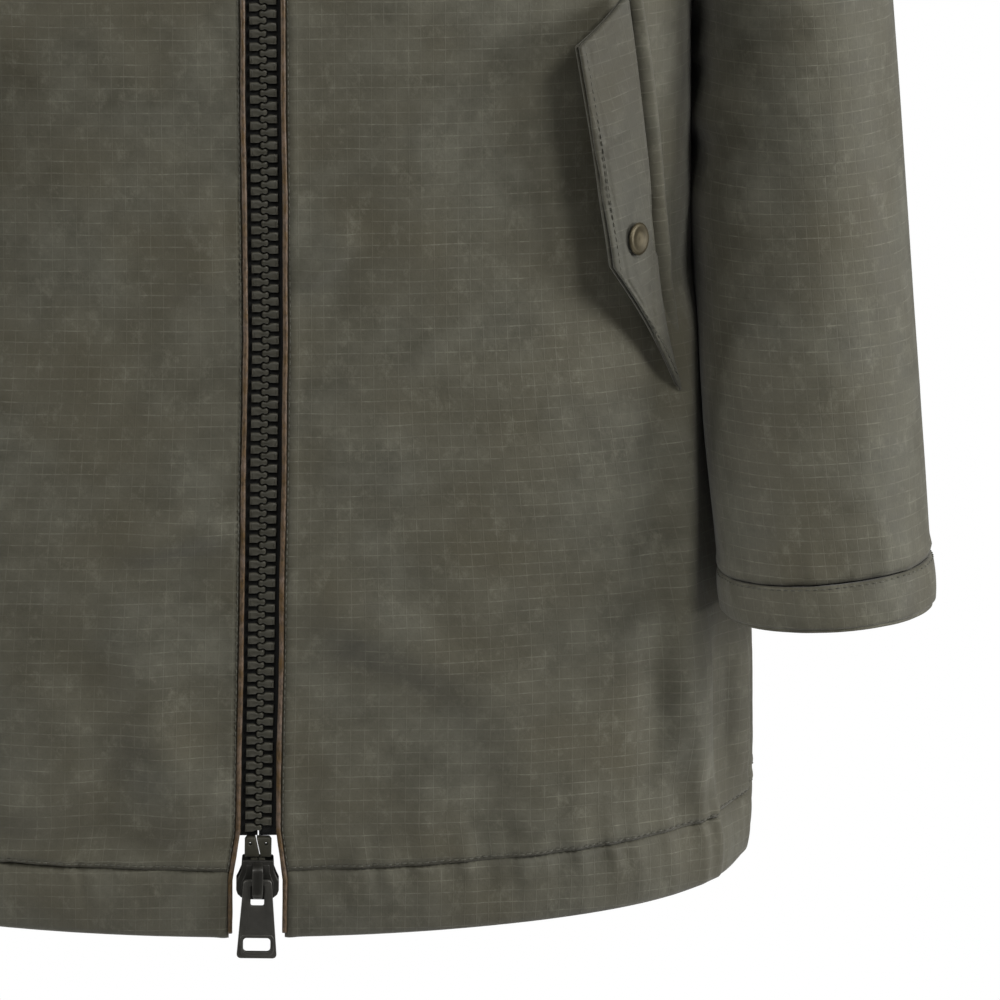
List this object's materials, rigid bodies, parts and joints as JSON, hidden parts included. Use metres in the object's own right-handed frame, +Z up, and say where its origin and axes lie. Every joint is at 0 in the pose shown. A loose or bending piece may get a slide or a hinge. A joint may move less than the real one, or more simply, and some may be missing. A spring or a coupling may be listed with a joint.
{
  "type": "work jacket",
  "caption": "Hip-length ripstop jacket with a stand collar, a two-way front zip edged in piping, slanted hand pockets under snap flaps, a stitched hem band and banded cuffs.",
  "frame": {"origin": "top of the hanger loop's hole, inside the back of the collar on the middle plane", "axes": "+Z up the worn jacket, -Y the way the wearer faces, +X toward the wearer's left"},
  "size_m": [0.6572, 0.2798, 0.9003],
  "materials": {
    "olive_shell": "matte",
    "olive_band": "matte",
    "olive_sleeve": "matte",
    "lining": "matte",
    "tape": "matte",
    "piping": "satin",
    "zip_resin": "satin",
    "slider_metal": "satin",
    "tab_metal": "satin",
    "snap_metal": "satin"
  },
  "bodies": {
    "jacket_body": {"front_panel_left": "olive_shell", "front_panel_right": "olive_shell", "front_yoke_left": "olive_shell", "front_yoke_right": "olive_shell", "back_panel_left": "olive_shell", "back_panel_right": "olive_shell", "back_yoke": "olive_shell", "collar_outer": "olive_shell", "pocket_welt_left": "olive_shell", "pocket_welt_right": "olive_shell", "hem_band_left": "olive_band", "hem_band_right": "olive_band", "hem_band_back": "olive_band", "collar_inner": "olive_band", "front_facing_left": "olive_band", "front_facing_right": "olive_band", "front_lining_left": "lining", "front_lining_right": "lining", "back_lining": "lining", "pocket_bag_left": "lining", "pocket_bag_right": "lining", "zip_tape_left": "tape", "zip_tape_right": "tape", "hanger_loop": "tape", "neck_label": "tape", "piping_left": "piping", "piping_right": "piping", "tooth_row_left": "zip_resin", "tooth_row_right": "zip_resin", "bottom_pin_left": "zip_resin", "bottom_pin_right": "zip_resin", "top_stop_left": "zip_resin", "top_stop_right": "zip_resin", "snap_stud_left": "snap_metal", "snap_stud_right": "snap_metal"},
    "sleeve_left": {"sleeve_upper_front_left": "olive_sleeve", "sleeve_upper_back_left": "olive_sleeve", "sleeve_lower_front_left": "olive_sleeve", "sleeve_lower_back_left": "olive_sleeve", "cuff_band_left": "olive_sleeve", "sleeve_lining_left": "lining"},
    "flap_left": {"pocket_flap_left": "olive_shell", "flap_facing_left": "olive_band", "snap_cap_left": "snap_metal"},
    "sleeve_right": {"sleeve_upper_front_right": "olive_sleeve", "sleeve_upper_back_right": "olive_sleeve", "sleeve_lower_front_right": "olive_sleeve", "sleeve_lower_back_right": "olive_sleeve", "cuff_band_right": "olive_sleeve", "sleeve_lining_right": "lining"},
    "flap_right": {"pocket_flap_right": "olive_shell", "flap_facing_right": "olive_band", "snap_cap_right": "snap_metal"},
    "lower_slider": {"lower_slider_body": "slider_metal", "lower_slider_crown": "slider_metal"},
    "lower_tab": {"lower_pull_tab": "tab_metal"},
    "upper_slider": {"upper_slider_body": "slider_metal", "upper_slider_crown": "slider_metal"},
    "upper_tab": {"upper_pull_tab": "tab_metal"}
  },
  "joints": [
    {"name": "lower_slider_slide", "type": "slide", "parent": "jacket_body", "child": "lower_slider", "axis": [0.0235, 0, 0.9997], "range_m": [0, 0.25], "deforming": ["tooth_row_left", "tooth_row_right"]},
    {"name": "lower_tab_swing", "type": "hinge", "parent": "lower_slider", "child": "lower_tab", "pos_m": [-0.00633, -0.19632, -0.78875], "axis": [-0.9997, 0, 0.0235], "range_deg": [0, 140]},
    {"name": "upper_slider_slide", "type": "slide", "parent": "jacket_body", "child": "upper_slider", "axis": [0, -0.2072, -0.9783], "range_m": [0, 0.2], "deforming": ["tooth_row_left", "tooth_row_right"]},
    {"name": "upper_tab_swing", "type": "hinge", "parent": "upper_slider", "child": "upper_tab", "pos_m": [0, -0.14543, 0.02166], "axis": [-1, 0, 0], "range_deg": [0, 140]},
    {"name": "left_flap_lift", "type": "hinge", "parent": "jacket_body", "child": "flap_left", "pos_m": [0.20223, -0.15181, -0.55319], "axis": [-0.1459, -0.096, 0.9846], "range_deg": [0, 80]},
    {"name": "left_sleeve_raise", "type": "hinge", "parent": "jacket_body", "child": "sleeve_left", "pos_m": [0.201, -0.06552, -0.04725], "axis": [0, -1, 0], "range_deg": [0, 60]},
    {"name": "right_flap_lift", "type": "hinge", "parent": "jacket_body", "child": "flap_right", "pos_m": [-0.20223, -0.15181, -0.55319], "axis": [-0.1459, 0.096, -0.9846], "range_deg": [0, 80]},
    {"name": "right_sleeve_raise", "type": "hinge", "parent": "jacket_body", "child": "sleeve_right", "pos_m": [-0.201, -0.06552, -0.04725], "axis": [0, 1, 0], "range_deg": [0, 60]}
  ]
}
